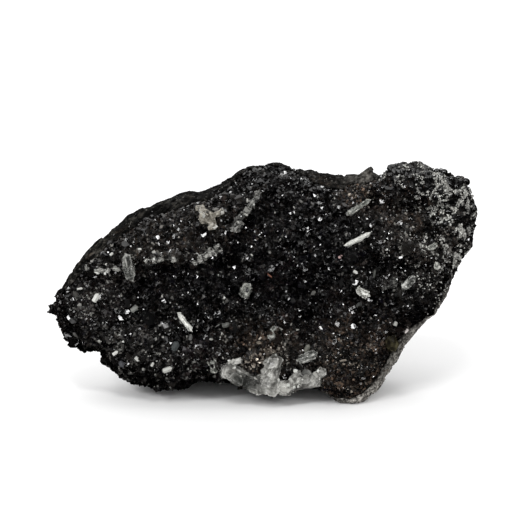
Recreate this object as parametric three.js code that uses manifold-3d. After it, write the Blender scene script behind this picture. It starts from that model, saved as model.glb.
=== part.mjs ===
// A hand specimen of dark host rock, one broad face of which is coated with a druse of small black
// crystals. Pale quartz crystals sit on that face, along a ledge in it and at its foot.
//
// The specimen is shaped in the frame of its crystal face: x runs along the face, y up the face and
// z out of it. A group then leans the face back, so that the specimen stands on the flat spot cut
// under it, with the part's origin on that spot, under the middle of the specimen's box. All sizes
// are millimetres.
import * as THREE from "three";
import { mergeVertices } from "three/addons/utils/BufferGeometryUtils.js";
import Module from "manifold-3d";

const wasm = await Module();
wasm.setup();

const LEAN_DEG = 15; // how far the crystal face leans back from upright
const FLOOR_AT_FACE = -1.04; // height of the face frame's origin above the floor
const ORIGIN_RIGHT = 0.14; // where the part's origin lies: right of the face frame's origin,
const ORIGIN_BACK = 12.8; // and behind it, under the middle of the specimen
const MIDDLE = new THREE.Vector2(0, 33); // the point of the face that every rim direction starts from
const EYE = new THREE.Vector3(0.75, 35.25, 368); // where the places below are seen from

const FACE_LEVEL = 4.5; // how far the face stands out from the rim plane
const FACE_CROWN = 3; // extra height of the middle of the face
const SHOULDER = 8; // width over which the face rounds off into the rim
const CRUST = 2.6; // thickness of the druse
const EDGE_DIP = 4; // slope of the druse's underside at its edge
const GAP = 0.3; // clearance between two minerals that touch
const CLEAR_OF_FLOOR = 0.45; // height of the lowest crystal above the floor

const RIM_STEP = 3.4; // longest edge along the rim
const FACE_STEP = 5; // spacing of the points on the stone's face and the druse's inner side
const DRUSE_STEP = 2.86; // spacing of the points on the druse's outer side
const PEAK_RISE = 1.4; // height of its crystal points above the face
const VALLEY_DROP = 0.35; // depth of the joints between them
const BACK_STEP = 7; // spacing of the points on the broken back

// The outline of the face as seen from EYE, clockwise from its left tip. depth is how far each
// stretch stands out from the rim plane, and bare is the width of uncoated rock beside it, measured
// towards MIDDLE.
const RIM = [
  {
    name: "left tip",
    depth: -3,
    bare: 0.8,
    points: [[-53.75, 23.25], [-53, 25], [-51.75, 26.25], [-52.5, 27.25], [-51.25, 28.5]],
  },
  {
    name: "upper left edge",
    depth: -6,
    bare: 5.4,
    points: [
      [-50, 29.75], [-48, 33.25], [-46.5, 35.5], [-45.25, 37], [-42.75, 40.25], [-40.5, 42.25],
      [-39.25, 42.5], [-38, 44.25], [-35, 46.25], [-33.75, 47.75], [-30.25, 49.75], [-28.25, 50],
      [-26.75, 51], [-24.25, 51.75], [-21.75, 53], [-18, 54], [-16, 53.5], [-14.25, 54],
    ],
  },
  {
    name: "crest",
    depth: -5,
    bare: 2,
    points: [
      [-11.75, 55.25], [-7.5, 57.5], [-5.5, 59.25], [-3.75, 60], [-1, 60.5], [4, 61.25],
      [7, 60.25], [10.25, 59.5], [14.5, 58.75], [17, 58.25],
    ],
  },
  {
    name: "horn",
    depth: -2,
    bare: 8.5,
    points: [
      [20, 57.9], [23.25, 58.1], [25.25, 58.6], [26.5, 59.75], [27.25, 60.1], [28, 59.75],
      [28.5, 58.5], [28.9, 57.5],
    ],
  },
  {
    name: "knobbly lump",
    depth: -1,
    bare: 0,
    points: [
      [30, 58], [32, 59.25], [33.3, 60.5], [34.2, 61], [36.5, 60.5], [39, 61], [41, 60],
      [43, 58.75], [45, 59], [46, 58.5], [48.25, 57.25], [50.75, 57.3], [51.5, 55.25],
    ],
  },
  {
    name: "right edge",
    depth: -4,
    bare: 1.4,
    points: [
      [52.75, 52.5], [54, 49], [53.75, 46], [53, 41.5], [52.9, 40], [50.5, 37.25],
      [49.5, 35.25], [47, 29.25], [46, 26.75],
    ],
  },
  {
    name: "lower right edge",
    depth: -4,
    bare: 3.6,
    points: [
      [43.5, 22.75], [41.5, 21.25], [38, 17.75], [36.25, 15.5], [33.75, 10.75], [32, 8],
      [29, 3.75],
    ],
  },
  {
    name: "foot",
    depth: 2,
    bare: 2.6,
    points: [[27, 2], [25.25, 0.75], [23.5, 0.1], [19.75, 0.5], [18.25, 1.25], [16.25, 2.75]],
  },
  {
    name: "bottom",
    depth: -2,
    bare: 1,
    points: [
      [13.5, 4.6], [9, 4.25], [8.25, 3.25], [5, 2.75], [1.5, 2.4], [-1, 2.75], [-4.75, 4.25],
      [-8.25, 5.5], [-11.75, 5.75], [-15.5, 6.25],
    ],
  },
  {
    name: "lower left edge",
    depth: -3,
    bare: 0,
    points: [
      [-17.5, 5.75], [-20.25, 4.25], [-26, 4.1], [-28, 5], [-32.5, 5.5], [-33.75, 6.5],
      [-35.75, 7], [-36, 8.25], [-40.25, 11.5], [-39.5, 13.3], [-41.75, 13.9], [-45, 13.75],
      [-47, 15.25], [-49.25, 16.5], [-49.75, 18.5], [-51, 20.75], [-51.25, 23],
    ],
  },
];

// The edge of the raised terrace at the upper left, which the quartz vein follows.
const LEDGE = [
  [-47, 33.5], [-43.5, 34.5], [-35, 34.5], [-28, 36], [-25.5, 37.25], [-21, 37], [-17.5, 36],
  [-14, 37], [-9.5, 39.5], [-6.5, 43.5], [-4.5, 47], [-1, 52.5], [1, 58],
];
const LEDGE_HEIGHT = 2.6;
const LEDGE_SLOPE = 1.6; // width of the step below the ledge

// Hollows and swellings of the face: centre, half-width, half-height, turn and height out of the face.
const RELIEF = [
  { name: "hollow under the vein", at: [-24, 34.5], half: [3.4, 1.7], turn: 5, height: -4 },
  { name: "hollow below the vein's end", at: [-10, 36.2], half: [3.2, 2.4], turn: 25, height: -4 },
  { name: "hollow beside the streak", at: [-6, 42], half: [2, 3], turn: -30, height: -2.6 },
  { name: "hollow at the left tip", at: [-45.5, 26], half: [3, 2.4], turn: 0, height: -2.6 },
  { name: "hollow at the lower left", at: [-35, 20.5], half: [3, 2.2], turn: 20, height: -2 },
  { name: "slot in the lower face", at: [12.2, 22.5], half: [1.5, 5.5], turn: 0, height: -4.4 },
  { name: "second slot", at: [28, 22.2], half: [1.5, 4], turn: 0, height: -3.4 },
  { name: "hollow by the twin", at: [24, 25.6], half: [3, 1.8], turn: 0, height: -2 },
  { name: "hollow above the base prism", at: [6.5, 11.5], half: [2.2, 3], turn: -20, height: -2.6 },
  { name: "pit left of the horn", at: [21.5, 54.7], half: [1.6, 2.4], turn: 0, height: -2.6 },
  { name: "pit below the horn", at: [28, 51.8], half: [2.4, 2], turn: 30, height: -5 },
  { name: "lump", at: [41, 55.5], half: [9, 4.2], turn: -12, height: 3 },
  { name: "lump's right flank", at: [48, 46], half: [4.6, 8], turn: 0, height: 2.6 },
  { name: "valley under the lump", at: [37.5, 49.6], half: [6, 2], turn: 8, height: -5 },
  { name: "hole in the flank", at: [40.8, 43], half: [1.8, 2.2], turn: 0, height: -4.5 },
  { name: "second hole in the flank", at: [45.4, 39], half: [1.5, 2.8], turn: 10, height: -4.2 },
  { name: "shelf", at: [34, 40], half: [5.5, 3], turn: -8, height: 2.2 },
  { name: "horn", at: [26.6, 57], half: [2.4, 3.4], turn: -15, height: 3 },
  { name: "slit under the shelf", at: [35, 34.6], half: [4.8, 1.4], turn: -8, height: -5 },
  { name: "rise of the centre", at: [9, 36], half: [15, 11], turn: 0, height: 1.4 },
  { name: "lower left bulge", at: [-26, 13], half: [11, 6], turn: -10, height: 1.6 },
];

// Facets of the broken back: its depth at MIDDLE, and how fast it rises along x and y.
const BACK_FACETS = [
  { depth: -25, alongX: 0.05, alongY: 0.02 },
  { depth: -22, alongX: -0.26, alongY: 0.06 },
  { depth: -27.5, alongX: 0.27, alongY: -0.05 },
  { depth: -26, alongX: 0.02, alongY: 0.33 },
  { depth: -24.5, alongX: 0.12, alongY: -0.09 },
  { depth: -31, alongX: -0.12, alongY: 0.62 },
];

// Loops of points round the flank, from the rim to the back: how far each lies behind the rim, and
// how far in from it.
const FLANK_LOOPS = [
  { behind: 4.5, inset: 0.9 },
  { behind: 10.5, inset: 2.4 },
];
const BACK_INSET = 5;

const CRYSTAL_STEP = 13; // spacing of the larger druse crystals
const CRYSTAL_SIZE = [1.3, 2.1]; // half-length of a larger druse crystal, least and most
const EDGE_INSET = 1.1; // distance of the outermost crystals from the edge of the druse
const KNOB_SIZE = [1.1, 1.7]; // radius of a knob on the lump
const KNOBS = 20;

// Single quartz crystals. at is the middle of each, turn its angle up from x along the face, pitch its
// angle out of the face, size its length, width and thickness, and rise the height of its middle.
const CRYSTALS = [
  { name: "quartz_blade", at: [-33.3, 34.7], turn: 101, pitch: 4, size: [8, 3, 1.8], rise: 1.3 },
  { name: "quartz_rod", at: [-19.3, 21.1], turn: -52, pitch: 8, size: [6.6, 1.5, 1.5], rise: 1.4 },
  { name: "quartz_needle", at: [24, 41.7], turn: 28, pitch: 6, size: [8.2, 1.4, 1.4], rise: 1.5 },
  { name: "quartz_leaf", at: [36.6, 30.8], turn: 42, pitch: 12, size: [5, 2.2, 1.6], rise: 1.3 },
  { name: "quartz_leaf_left", at: [31.6, 30.4], turn: 14, pitch: 4, size: [5, 2.8, 1.8], rise: 0.6 },
  { name: "quartz_twin", at: [25.3, 28.4], turn: -32, pitch: 14, size: [4.4, 2.4, 2], rise: 1.3 },
  { name: "quartz_chip", at: [42.6, 39.8], turn: 32, pitch: 6, size: [3, 1.5, 1.4], rise: 1 },
  { name: "quartz_chip_low", at: [43.6, 35.1], turn: 60, pitch: 6, size: [2.4, 1.6, 1.4], rise: 0.9 },
  { name: "quartz_splinter", at: [24.2, 49.8], turn: 33, pitch: 2, size: [7.4, 1.7, 1.4], rise: 0.8 },
  { name: "quartz_tablet", at: [3.2, 18], turn: 78, pitch: 10, size: [4.4, 3.4, 2], rise: 1 },
  { name: "quartz_knot", at: [-4, 29], turn: 60, pitch: 20, size: [4.4, 3.4, 2.6], rise: 0.9 },
  { name: "quartz_stub", at: [-12.2, 10], turn: 110, pitch: 20, size: [4, 2.6, 2.2], rise: 0.9 },
  { name: "quartz_prism", at: [11.3, 12.2], turn: 20, pitch: 8, size: [6.2, 2.8, 2.4], rise: 1.4 },
];

// Quartz crystals grown into each other, as [x, y, turn, length, width].
const GROUPS = [
  {
    name: "quartz_cluster",
    rise: 1,
    members: [
      [-14.6, 47.4, 80, 4.4, 3.6], [-12.6, 46.4, 110, 5, 3], [-10.8, 48.4, 30, 3, 2],
      [-15.4, 49.4, 10, 2.6, 1.8],
    ],
  },
  {
    name: "quartz_streak",
    rise: 0.9,
    members: [
      [-6.4, 45, 60, 4, 3], [-5, 47.6, 40, 4.4, 2], [-3, 50, 62, 4.6, 1.8], [-1.2, 52.6, 75, 3, 1.8],
    ],
  },
  {
    name: "quartz_base",
    rise: 0.5,
    members: [
      [-7, 8.2, -30, 7, 5], [-6.2, 11.2, 12, 3.6, 2.4], [-2, 5.8, -18, 7.4, 4.8],
      [2.4, 8.8, 74, 10.4, 5], [4.6, 4.9, -6, 7, 4], [8, 6.4, 62, 6.4, 3.4],
      [11.8, 6.6, 12, 8.2, 4.6], [14.6, 8.2, 40, 3.8, 2.8],
    ],
  },
];

// Seams of small quartz crystals along the ledge: the line that each follows, and how many it has.
const VEINS = [
  { name: "quartz_vein_left", path: [[-43.4, 34.3], [-40.4, 33.8], [-36.8, 34.6]], count: 5 },
  { name: "quartz_vein_middle", path: [[-30, 35.2], [-28, 36.3], [-25.4, 37.4], [-20.4, 37]], count: 7 },
  { name: "quartz_vein_right", path: [[-17, 35.4], [-14.2, 37.1], [-10.8, 39]], count: 5 },
];
const VEIN_CRYSTAL = { length: [2.2, 3.6], width: [1.3, 2.1], rise: 1.1, spread: 0.45 };

const OLIVE = { name: "olive_crystal", at: [32.4, 15.6], radius: 2.5, rise: 0.2 };

// A repeatable stream of numbers between 0 and 1.
function randomStream(seed) {
  let state = seed;
  return () => {
    state = (state + 0x6d2b79f5) | 0;
    let t = Math.imul(state ^ (state >>> 15), 1 | state);
    t = (t + Math.imul(t ^ (t >>> 7), 61 | t)) ^ t;
    return ((t ^ (t >>> 14)) >>> 0) / 4294967296;
  };
}

function between(random, [low, high]) {
  return low + (high - low) * random();
}

// The place on the face, or in front of it by a depth, that is seen at x and y.
function seenAt([x, y], depth = FACE_LEVEL + FACE_CROWN) {
  return new THREE.Vector2(x, y).lerp(EYE, depth / EYE.z);
}

function smoothstep(low, high, x) {
  return THREE.MathUtils.smoothstep(x, low, high);
}

// A number from 0 to 1 that belongs to one cell of the noise lattice.
function cellValue(i, j, k) {
  let n = Math.imul(i, 374761393) + Math.imul(j, 668265263) + Math.imul(k, 974634777);
  n = Math.imul(n ^ (n >>> 13), 1274126177);
  return ((n ^ (n >>> 16)) >>> 0) / 4294967295;
}

// Smooth noise from -1 to 1 with features about one wavelength across.
function noise(x, y, wavelength, layer) {
  const px = x / wavelength;
  const py = y / wavelength;
  const i = Math.floor(px);
  const j = Math.floor(py);
  const fx = smoothstep(0, 1, px - i);
  const fy = smoothstep(0, 1, py - j);
  const low = THREE.MathUtils.lerp(cellValue(i, j, layer), cellValue(i + 1, j, layer), fx);
  const high = THREE.MathUtils.lerp(cellValue(i, j + 1, layer), cellValue(i + 1, j + 1, layer), fx);
  return 2 * THREE.MathUtils.lerp(low, high, fy) - 1;
}

// The rim as one closed loop of points, no edge longer than RIM_STEP, each with its depth and bare
// width, both of which pass gradually from one stretch to the next.
function buildRim() {
  const corners = RIM.flatMap(({ depth, bare, points }) =>
    points.map(([x, y]) => ({ at: new THREE.Vector2(x, y), depth, bare })),
  );
  const loop = corners.flatMap((corner, i) => {
    const next = corners[(i + 1) % corners.length];
    const steps = Math.ceil(corner.at.distanceTo(next.at) / RIM_STEP);
    return Array.from({ length: steps }, (_, k) => ({
      ...corner,
      at: corner.at.clone().lerp(next.at, k / steps),
    }));
  });
  const reach = 4;
  const blended = (i, key) => {
    let sum = 0;
    for (let k = -reach; k <= reach; k++) sum += loop[(i + k + loop.length) % loop.length][key];
    return sum / (2 * reach + 1);
  };
  return loop.map((point, i) => {
    const depth = blended(i, "depth");
    const { x, y } = seenAt(point.at.toArray(), depth);
    const spoke = new THREE.Vector2(x, y).sub(MIDDLE);
    return { x, y, radius: spoke.length(), angle: spoke.angle(), depth, bare: blended(i, "bare") };
  });
}

const ledge = LEDGE.map((place) => seenAt(place));
const relief = RELIEF.map((spot) => ({ ...spot, at: seenAt(spot.at) }));
const rim = buildRim();
const rimByAngle = [...rim].sort((a, b) => a.angle - b.angle);

// The rim's radius, depth and bare width in the direction of a point.
function rimTowards(x, y) {
  const angle = new THREE.Vector2(x, y).sub(MIDDLE).angle();
  const count = rimByAngle.length;
  let after = rimByAngle.findIndex((point) => point.angle > angle);
  if (after < 0) after = 0;
  const high = rimByAngle[after];
  const low = rimByAngle[(after + count - 1) % count];
  const turn = 2 * Math.PI;
  const span = (high.angle - low.angle + turn) % turn || turn;
  const share = ((angle - low.angle + turn) % turn) / span;
  const mix = (key) => THREE.MathUtils.lerp(low[key], high[key], share);
  return { radius: mix("radius"), depth: mix("depth"), bare: mix("bare") };
}

// Signed distance from the ledge: positive on the terrace above it.
function heightAboveLedge(x, y) {
  let best = Infinity;
  let side = 1;
  for (let i = 0; i + 1 < ledge.length; i++) {
    const along = ledge[i + 1].clone().sub(ledge[i]);
    const out = new THREE.Vector2(x, y).sub(ledge[i]);
    const share = THREE.MathUtils.clamp(out.dot(along) / along.lengthSq(), 0, 1);
    const distance = out.distanceTo(along.clone().multiplyScalar(share));
    if (distance < best) {
      best = distance;
      side = Math.sign(along.x * out.y - along.y * out.x) || 1;
    }
  }
  return side * best;
}

function reliefAt(x, y) {
  return relief.reduce((sum, { at, half, turn, height }) => {
    const out = new THREE.Vector2(x, y).sub(at);
    out.rotateAround(new THREE.Vector2(), -THREE.MathUtils.degToRad(turn));
    return sum + height * Math.exp(-((out.x / half[0]) ** 2) - (out.y / half[1]) ** 2);
  }, 0);
}

// How far the crystal face stands out at a point.
function faceDepth(x, y) {
  const { radius, depth } = rimTowards(x, y);
  const out = Math.hypot(x - MIDDLE.x, y - MIDDLE.y);
  const inside = THREE.MathUtils.clamp((radius - out) / SHOULDER, 0, 1);
  const rounding = Math.sqrt(1 - (1 - inside) ** 2);
  const crown = FACE_CROWN * (1 - Math.min(1, out / radius) ** 2);
  const terrace = LEDGE_HEIGHT * smoothstep(-LEDGE_SLOPE, 0.3, heightAboveLedge(x, y));
  const roughness = 0.8 * noise(x, y, 9, 1) + 0.5 * noise(x, y, 4, 2);
  return (
    THREE.MathUtils.lerp(depth, FACE_LEVEL + crown, rounding) +
    rounding * (terrace + reliefAt(x, y) + roughness)
  );
}

function backDepth(x, y) {
  const facets = BACK_FACETS.map(
    ({ depth, alongX, alongY }) => depth + alongX * (x - MIDDLE.x) + alongY * (y - MIDDLE.y),
  );
  return Math.max(...facets) + 0.7 * noise(x, y, 11, 3) + 0.4 * noise(x, y, 5, 4);
}

function insideLoop(loop, x, y) {
  let inside = false;
  for (let i = 0, j = loop.length - 1; i < loop.length; j = i++) {
    const a = loop[i];
    const b = loop[j];
    if (a.y > y !== b.y > y && x < ((b.x - a.x) * (y - a.y)) / (b.y - a.y) + a.x) inside = !inside;
  }
  return inside;
}

function distanceToLoop(loop, x, y) {
  let best = Infinity;
  for (let i = 0, j = loop.length - 1; i < loop.length; j = i++) {
    const a = loop[j];
    const b = loop[i];
    const lengthSq = (b.x - a.x) ** 2 + (b.y - a.y) ** 2;
    const share = THREE.MathUtils.clamp(
      ((x - a.x) * (b.x - a.x) + (y - a.y) * (b.y - a.y)) / lengthSq,
      0,
      1,
    );
    best = Math.min(best, Math.hypot(x - a.x - share * (b.x - a.x), y - a.y - share * (b.y - a.y)));
  }
  return best;
}

// Delaunay triangles, as index triples, that turn anticlockwise.
function delaunay(points) {
  const far = 1000;
  const all = [...points, { x: -far, y: -far }, { x: far, y: -far }, { x: 0, y: far }];
  const count = points.length;
  let triangles = [[count, count + 1, count + 2]];
  const inCircle = ([i, j, k], p) => {
    const rows = [all[i], all[j], all[k]].map((q) => {
      const x = q.x - p.x;
      const y = q.y - p.y;
      return [x, y, x * x + y * y];
    });
    const [[ax, ay, a], [bx, by, b], [cx, cy, c]] = rows;
    return ax * (by * c - b * cy) - ay * (bx * c - b * cx) + a * (bx * cy - by * cx) > 1e-9;
  };
  points.forEach((p, index) => {
    const hit = triangles.filter((t) => inCircle(t, p));
    const edges = new Map();
    for (const [i, j, k] of hit)
      for (const [from, to] of [[i, j], [j, k], [k, i]])
        if (!edges.delete(`${to},${from}`)) edges.set(`${from},${to}`, [from, to]);
    const gone = new Set(hit);
    triangles = triangles.filter((t) => !gone.has(t));
    for (const [from, to] of edges.values()) triangles.push([from, to, index]);
  });
  return triangles.filter((t) => t.every((i) => i < count));
}

// Fills a loop with triangles. Inner points lie on a shaken grid and at the given extra places.
// Every third point of the grid is a peak, so that each peak has only other points round it.
function fillLoop(loop, step, seed, extra = []) {
  const random = randomStream(seed);
  const low = new THREE.Vector2(Infinity, Infinity);
  const high = new THREE.Vector2(-Infinity, -Infinity);
  for (const p of loop) {
    low.min(new THREE.Vector2(p.x, p.y));
    high.max(new THREE.Vector2(p.x, p.y));
  }
  const rowHeight = (step * Math.sqrt(3)) / 2;
  const shake = 0.22 * step;
  const inner = extra.map(([x, y]) => ({ x, y, peak: false }));
  for (let row = 0; low.y + row * rowHeight < high.y; row++)
    for (let column = 0; low.x + column * step < high.x; column++)
      inner.push({
        x: low.x + (column + (row % 2) / 2) * step + shake * (2 * random() - 1),
        y: low.y + row * rowHeight + shake * (2 * random() - 1),
        peak: (column - (row - (row % 2)) / 2 + 2 * row) % 3 === 0,
      });
  const spaced = [];
  inner.forEach((p, i) => {
    const room = (i < extra.length ? 0.3 : 0.55) * step;
    const free = spaced.every((q) => Math.hypot(p.x - q.x, p.y - q.y) > room);
    if (free && insideLoop(loop, p.x, p.y) && distanceToLoop(loop, p.x, p.y) > 0.5 * step)
      spaced.push(p);
  });
  const points = [...loop.map(({ x, y }) => ({ x, y })), ...spaced];
  const triangles = delaunay(points).filter((t) => {
    const [a, b, c] = t.map((i) => points[i]);
    return insideLoop(loop, (a.x + b.x + c.x) / 3, (a.y + b.y + c.y) / 3);
  });
  return { points, triangles };
}

// The closed solid between two sheets over the same triangles, joined by bands between its loops.
// Each loop has one point for each point of the rim and runs clockwise.
function solidFrom(front, loops, back) {
  const positions = [];
  const faces = [];
  const count = loops[0].length;
  const start = loops.map((loop) => {
    const first = positions.length / 3;
    for (const p of loop) positions.push(p.x, p.y, p.z);
    return first;
  });
  const lay = (sheet, depthAt, ring, flip) => {
    const first = positions.length / 3;
    for (const p of sheet.points.slice(count)) positions.push(p.x, p.y, depthAt(p));
    const at = (i) => (i < count ? ring + i : first + i - count);
    for (const [i, j, k] of sheet.triangles)
      faces.push(...(flip ? [at(i), at(k), at(j)] : [at(i), at(j), at(k)]));
  };
  lay(front.sheet, front.depthAt, start[0], false);
  lay(back.sheet, back.depthAt, start.at(-1), true);
  for (let ring = 0; ring + 1 < start.length; ring++)
    for (let i = 0; i < count; i++) {
      const a = start[ring] + i;
      const b = start[ring] + ((i + 1) % count);
      const c = start[ring + 1] + i;
      const d = start[ring + 1] + ((i + 1) % count);
      faces.push(a, b, c, b, d, c);
    }
  return manifoldOf(positions, faces);
}

function manifoldOf(positions, faces) {
  return new wasm.Manifold(
    new wasm.Mesh({
      numProp: 3,
      vertProperties: new Float32Array(positions),
      triVerts: new Uint32Array(faces),
    }),
  );
}

// A three.js geometry, moved by a matrix, as a solid to join or cut.
function solidOf(geometry, matrix = new THREE.Matrix4()) {
  const bare = geometry.index ? geometry.toNonIndexed() : geometry.clone();
  bare.deleteAttribute("normal");
  bare.deleteAttribute("uv");
  bare.applyMatrix4(matrix);
  const merged = mergeVertices(bare, 1e-4);
  return manifoldOf(merged.attributes.position.array, merged.index.array);
}

function meshOf(name, solid, material) {
  const parts = solid.decompose();
  const largest = parts.reduce((a, b) => (b.volume() > a.volume() ? b : a));
  const { vertProperties, triVerts } = largest.getMesh();
  const geometry = new THREE.BufferGeometry();
  geometry.setAttribute("position", new THREE.BufferAttribute(vertProperties, 3));
  geometry.setIndex(new THREE.BufferAttribute(triVerts, 1));
  geometry.computeVertexNormals();
  const mesh = new THREE.Mesh(geometry, material);
  mesh.name = name;
  return mesh;
}

// A rim point moved towards MIDDLE.
function inwards(point, distance) {
  const share = 1 - distance / point.radius;
  return {
    x: MIDDLE.x + (point.x - MIDDLE.x) * share,
    y: MIDDLE.y + (point.y - MIDDLE.y) * share,
  };
}

// A loop whose notches are filled in, more with each pass.
function softened(loop, passes) {
  if (!passes) return loop;
  const count = loop.length;
  const soft = loop.map((point, i) => {
    const last = loop[(i + count - 1) % count];
    const next = loop[(i + 1) % count];
    return { ...point, x: (last.x + 2 * point.x + next.x) / 4, y: (last.y + 2 * point.y + next.y) / 4 };
  });
  return softened(soft, passes - 1);
}

// The whole stone before the druse is set into it. Its flank keeps full width below, where the
// specimen stands on it.
function buildStone() {
  const frontLoop = rim.map((point) => {
    const p = inwards(point, 1.4);
    return { ...p, z: faceDepth(p.x, p.y) };
  });
  const rimLoop = rim.map(({ x, y, depth }) => ({ x, y, z: depth }));
  const taper = (point) => 1 - smoothstep(0.45, 0.85, (MIDDLE.y - point.y) / point.radius);
  const flankLoops = FLANK_LOOPS.map(({ behind, inset }, ring) =>
    softened(rim, 1 + ring).map((point) => {
      const wobble = 1 + 0.8 * noise(point.x, point.y, 6, 10 + ring);
      const p = inwards(point, inset * wobble * taper(point));
      const rough = 1.4 * noise(point.x, point.y, 5, 20 + ring);
      return { ...p, z: Math.max(point.depth - behind + rough, backDepth(p.x, p.y) + 1.5) };
    }),
  );
  const backLoop = softened(rim, 3).map((point) => {
    const p = inwards(point, BACK_INSET * (0.15 + 0.85 * taper(point)));
    return { ...p, z: backDepth(p.x, p.y) };
  });
  return solidFrom(
    { sheet: fillLoop(frontLoop, FACE_STEP, 11), depthAt: (p) => faceDepth(p.x, p.y) },
    [frontLoop, rimLoop, ...flankLoops, backLoop],
    { sheet: fillLoop(backLoop, BACK_STEP, 12), depthAt: (p) => backDepth(p.x, p.y) },
  );
}

// Points where the face bends sharply, so that the druse follows its hollows and its ledge.
function bendPoints() {
  const hollows = relief.filter(({ half }) => Math.min(...half) < 3).flatMap(({ at, half, turn }) => {
    const around = Array.from({ length: 6 }, (_, k) => {
      const angle = (k * Math.PI) / 3;
      const out = new THREE.Vector2(1.3 * half[0] * Math.cos(angle), 1.3 * half[1] * Math.sin(angle));
      out.rotateAround(new THREE.Vector2(), THREE.MathUtils.degToRad(turn));
      return [at.x + out.x, at.y + out.y];
    });
    return [at.toArray(), ...around];
  });
  const step = ledge.slice(1, -1).flatMap(({ x, y }) => [[x, y + 0.5], [x + 0.7, y - 1.7]]);
  return [...hollows, ...step];
}

// The edge of the druse, widened by grow.
function druseEdge(grow) {
  const edge = rim.map((point) => inwards(point, point.bare));
  return edge.map((p, i) => {
    const next = edge[(i + 1) % edge.length];
    const last = edge[(i + edge.length - 1) % edge.length];
    const along = new THREE.Vector2(next.x - last.x, next.y - last.y).normalize();
    return { x: p.x - grow * along.y, y: p.y + grow * along.x };
  });
}

const innerSheet = fillLoop(druseEdge(0), FACE_STEP, 13, bendPoints());
const outerSheet = fillLoop(druseEdge(0), DRUSE_STEP, 15, bendPoints());

// The druse: a bed of crystal points grown into each other, CRUST thick on the face.
function buildDruse() {
  const edge = druseEdge(0);
  const top = (p) => {
    const size = 1 + 0.4 * noise(p.x, p.y, 2, 5);
    return faceDepth(p.x, p.y) + (p.peak ? PEAK_RISE * size : -VALLEY_DROP * size);
  };
  const bottom = (p) => faceDepth(p.x, p.y) - CRUST;
  return solidFrom(
    { sheet: outerSheet, depthAt: top },
    [edge.map((p) => ({ ...p, z: top(p) })), edge.map((p) => ({ ...p, z: bottom(p) }))],
    { sheet: innerSheet, depthAt: bottom },
  );
}

// The room that the druse takes, up into the open air. grow widens and deepens it, and its edge
// sinks by more because the druse dips steeply there.
function buildRoom(grow) {
  const edge = druseEdge(grow);
  const under = druseEdge(0);
  const top = (p) => faceDepth(p.x, p.y) + 12;
  const bottom = (p) => faceDepth(p.x, p.y) - CRUST - grow;
  const sunk = edge.map((p, i) => ({ ...p, z: bottom(under[i]) - EDGE_DIP * grow }));
  return solidFrom(
    { sheet: innerSheet, depthAt: top },
    [edge.map((p) => ({ ...p, z: top(p) })), sunk],
    { sheet: innerSheet, depthAt: bottom },
  );
}

// The slope of the face as a direction pointing out of it.
function faceNormal(x, y) {
  const reach = 1.2;
  const alongX = (faceDepth(x + reach, y) - faceDepth(x - reach, y)) / (2 * reach);
  const alongY = (faceDepth(x, y + reach) - faceDepth(x, y - reach)) / (2 * reach);
  return new THREE.Vector3(-alongX, -alongY, 1).normalize();
}

// Black crystals that stand out of the druse: eight-faced ones all over it, and knobs on the lump.
function druseCrystals() {
  const random = randomStream(21);
  const edge = druseEdge(-EDGE_INSET);
  const { points } = fillLoop(edge, CRYSTAL_STEP, 14);
  const up = new THREE.Vector3(0, 0, 1);
  const onLump = (x, y) => x > 33 && y > 53.5;
  const crystals = points.map(({ x, y }, i) => {
    const onEdge = i < edge.length;
    if (onEdge && (i % 4 || x < -50)) return null;
    const size = between(random, CRYSTAL_SIZE) * (onEdge ? 0.75 : 1);
    const spin = new THREE.Quaternion().setFromAxisAngle(up, random() * Math.PI);
    const tilt = new THREE.Quaternion().setFromAxisAngle(
      new THREE.Vector3(random() - 0.5, random() - 0.5, 0).normalize(),
      random() * 0.7,
    );
    const lie = new THREE.Quaternion().setFromUnitVectors(up, faceNormal(x, y));
    const place = new THREE.Matrix4().compose(
      new THREE.Vector3(x, y, faceDepth(x, y) + 0.1 * size),
      lie.multiply(tilt).multiply(spin),
      new THREE.Vector3(size, size * between(random, [0.8, 1.1]), size * between(random, [0.8, 1.2])),
    );
    return onLump(x, y) ? null : solidOf(new THREE.OctahedronGeometry(1), place);
  });
  const knobs = Array.from({ length: KNOBS }, () => {
    const x = between(random, [33.5, 51]);
    const y = between(random, [51.5, 61.2 - 0.28 * Math.max(0, x - 38)]);
    if (!insideLoop(edge, x, y)) return null;
    const radius = between(random, KNOB_SIZE);
    const turn = new THREE.Matrix4().makeRotationFromEuler(
      new THREE.Euler(random() * 3, random() * 3, random() * 3),
    );
    const place = new THREE.Matrix4()
      .makeTranslation(x, y, faceDepth(x, y))
      .multiply(turn)
      .scale(new THREE.Vector3(radius, radius, radius));
    return solidOf(new THREE.IcosahedronGeometry(1), place);
  });
  return wasm.Manifold.union([...crystals, ...knobs].filter(Boolean));
}

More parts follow.
